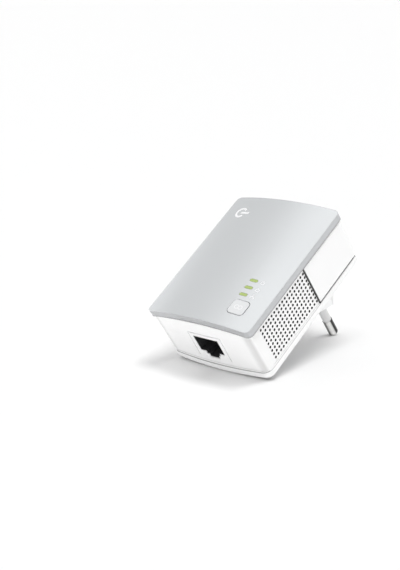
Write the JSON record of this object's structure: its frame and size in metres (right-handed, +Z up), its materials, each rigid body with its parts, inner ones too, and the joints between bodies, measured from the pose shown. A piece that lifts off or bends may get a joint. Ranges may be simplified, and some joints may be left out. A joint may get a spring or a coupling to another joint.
{
  "type": "powerline network adapter",
  "caption": "Compact wall-plug adapter that sends a network link over the mains: a crowned cover on a vented case, with a mains plug behind and a network socket in one end.",
  "frame": {"origin": "on the floor plane, under the middle of the part's bounding box as it rests: leaning back on its two pin tips and its lower rear edge, with the cover facing up and the socket end low and to the front", "axes": "+X across the adapter, to the right when the cover is faced with the socket end down; +Y to the back, where the raised top end and the pin tips are; +Z up. The unit is leant back by 31.570 degrees about X."},
  "size_m": [0.0524, 0.073, 0.0587],
  "materials": {
    "cover_plastic": "satin silver-grey",
    "white_plastic": "satin white, moulded",
    "label_film": "blank printed film",
    "light_plastic": "translucent, lit lime green",
    "led_body": "moulded",
    "black_plastic": "moulded",
    "plunger_plastic": "moulded",
    "circuit_board": "green solder mask",
    "chip_plastic": "moulded",
    "gold_contact": "gold plated",
    "pin_metal": "nickel plated",
    "sleeve_plastic": "satin white",
    "screw_steel": "zinc plated",
    "spreader_aluminium": "bare",
    "thermal_rubber": "soft",
    "crystal_can": "bare",
    "sheet_film": "translucent film",
    "capacitor_sleeve": "shrink sleeve over the can",
    "ferrite": "sintered",
    "yellow_tape": "tape over the winding",
    "copper_wire": "enamelled",
    "yellow_resin": "filled box",
    "brown_resin": "filled box",
    "blue_resin": "dipped"
  },
  "bodies": {
    "case": {"front_cover": "cover_plastic", "front_housing": "white_plastic", "rear_housing": "white_plastic", "rating_label": "label_film", "light_guide": "light_plastic", "status_led_1": "led_body", "status_led_2": "led_body", "status_led_3": "led_body", "switch_body": "black_plastic", "logic_board": "circuit_board", "logic_board_screws": "screw_steel", "jack_body": "black_plastic", "jack_contacts": "gold_contact", "network_transformer": "chip_plastic", "powerline_chip": "chip_plastic", "thermal_pad": "thermal_rubber", "heat_spreader": "spreader_aluminium", "memory_chip": "chip_plastic", "flash_chip": "chip_plastic", "crystal": "crystal_can", "board_header": "black_plastic", "header_pins": "gold_contact", "insulation_sheet": "sheet_film", "power_board": "circuit_board", "power_board_screws": "screw_steel", "live_pin": "pin_metal", "neutral_pin": "pin_metal", "live_pin_sleeve": "sleeve_plastic", "neutral_pin_sleeve": "sleeve_plastic", "pin_retainer": "white_plastic", "retainer_screw": "screw_steel", "bulk_capacitor": "capacitor_sleeve", "output_capacitor": "capacitor_sleeve", "transformer_core": "ferrite", "transformer_winding": "yellow_tape", "choke_core": "ferrite", "choke_winding": "copper_wire", "safety_capacitor": "yellow_resin", "fuse": "brown_resin", "varistor": "blue_resin", "bridge_rectifier": "chip_plastic", "coupling_transformer": "ferrite", "power_controller": "chip_plastic"},
    "button": {"pair_button": "cover_plastic"},
    "plunger": {"switch_plunger": "plunger_plastic"}
  },
  "joints": [
    {"name": "button_press", "type": "slide", "parent": "case", "child": "button", "axis": [0, 0.5235, -0.852], "range_m": [0, 0.0004], "stiffness_N_per_m": 4000},
    {"name": "plunger_press", "type": "slide", "parent": "case", "child": "plunger", "axis": [0, 0.5235, -0.852], "range_m": [0, 0.0004]}
  ],
  "couplings": [
    {"joint": "plunger_press", "follows": "button_press", "ratio": 1}
  ]
}
